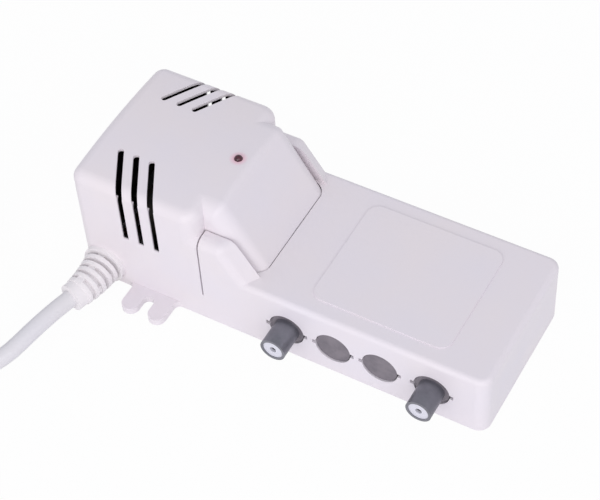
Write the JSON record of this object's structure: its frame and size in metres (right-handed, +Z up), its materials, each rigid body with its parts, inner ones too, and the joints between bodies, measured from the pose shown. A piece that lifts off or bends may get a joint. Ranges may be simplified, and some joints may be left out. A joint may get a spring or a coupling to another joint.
{
  "type": "tv signal amplifier",
  "caption": "Indoor TV signal amplifier with a mains hood, red lamp, die-cast chassis with coaxial sockets, mounting ears and a white mains lead.",
  "frame": {"origin": "centre of the object's footprint on the surface that it stands on, measured without the cord", "axes": "+X along the length from the power supply hood to the blank end, +Y from the socket side to the back, +Z up"},
  "size_m": [0.3024, 0.147, 0.0543],
  "materials": {
    "white_plastic": "white moulded plastic with a faint lilac tint, satin",
    "white_pvc": "soft white PVC, satin",
    "lamp_red": "dark red lens",
    "grey_metal": "grey die-cast zinc, dull",
    "socket_metal": "dull nickel plate",
    "insulator_white": "white insulator",
    "tinplate": "tinned steel sheet",
    "screw_steel": "zinc-plated steel",
    "contact_metal": "plated brass",
    "board": "phenolic board",
    "black_part": "black moulded epoxy",
    "ferrite": "sintered ferrite",
    "ceramic": "dipped ceramic",
    "resistor": "lacquered resistor",
    "can_blue": "sleeved aluminium can",
    "trimmer_blue": "blue moulded body",
    "trimmer_white": "white moulded rotor",
    "wire_red": "red PVC insulation",
    "wire_brown": "brown and blue PVC insulation",
    "copper": "taped enamelled copper",
    "core_steel": "varnished laminations",
    "former": "nylon former",
    "aluminium": "bare sheet",
    "terminal": "nylon block",
    "plug_plastic": "white moulded plug",
    "pin_metal": "nickel-plated brass",
    "sleeve_black": "black insulating sleeve"
  },
  "bodies": {
    "housing": {"main_housing": "white_plastic", "amplifier_cover": "white_plastic", "bottom_plate": "white_plastic", "bottom_plate_screws": "screw_steel", "cover_screws": "screw_steel", "chassis_screws": "screw_steel", "diecast_chassis": "grey_metal", "chassis_lid": "tinplate", "input_socket_barrel": "socket_metal", "input_socket_insulator": "insulator_white", "input_socket_contact": "contact_metal", "output_socket_barrel": "socket_metal", "output_socket_insulator": "insulator_white", "output_socket_contact": "contact_metal", "amplifier_board": "board", "board_screws": "screw_steel", "gain_trimmer_body": "trimmer_blue", "rf_transistors": "black_part", "ferrite_cores": "ferrite", "ceramic_capacitors": "ceramic", "resistors": "resistor", "small_electrolytic": "can_blue", "supply_wires": "wire_red", "transformer_core": "core_steel", "transformer_bobbin": "former", "primary_winding": "copper", "secondary_winding": "copper", "transformer_frame": "tinplate", "transformer_screws": "screw_steel", "power_board": "board", "power_board_screws": "screw_steel", "rectifier_diodes": "black_part", "smoothing_capacitor": "can_blue", "voltage_regulator": "black_part", "heat_sink": "aluminium", "terminal_block": "terminal", "terminal_screws": "screw_steel", "mains_wires": "wire_brown", "transformer_leads": "wire_red", "lamp_body": "lamp_red", "lamp_leads": "contact_metal", "lamp_wires": "wire_red", "strain_relief": "white_pvc", "cord_entry": "white_pvc", "mains_cord": "white_pvc", "cord_coil": "white_pvc", "cord_tie": "sleeve_black", "cord_tail": "white_pvc", "plug_body": "plug_plastic", "plug_pins": "pin_metal", "plug_pin_sleeves": "sleeve_black"},
    "trimmer": {"gain_trimmer_rotor": "trimmer_white"}
  },
  "joints": [
    {"name": "gain_trimmer_turn", "type": "hinge", "parent": "housing", "child": "trimmer", "pos_m": [0.03069, 0.00267, 0.0132], "axis": [0, 0, 1], "range_deg": [-117.5, 117.5]}
  ]
}
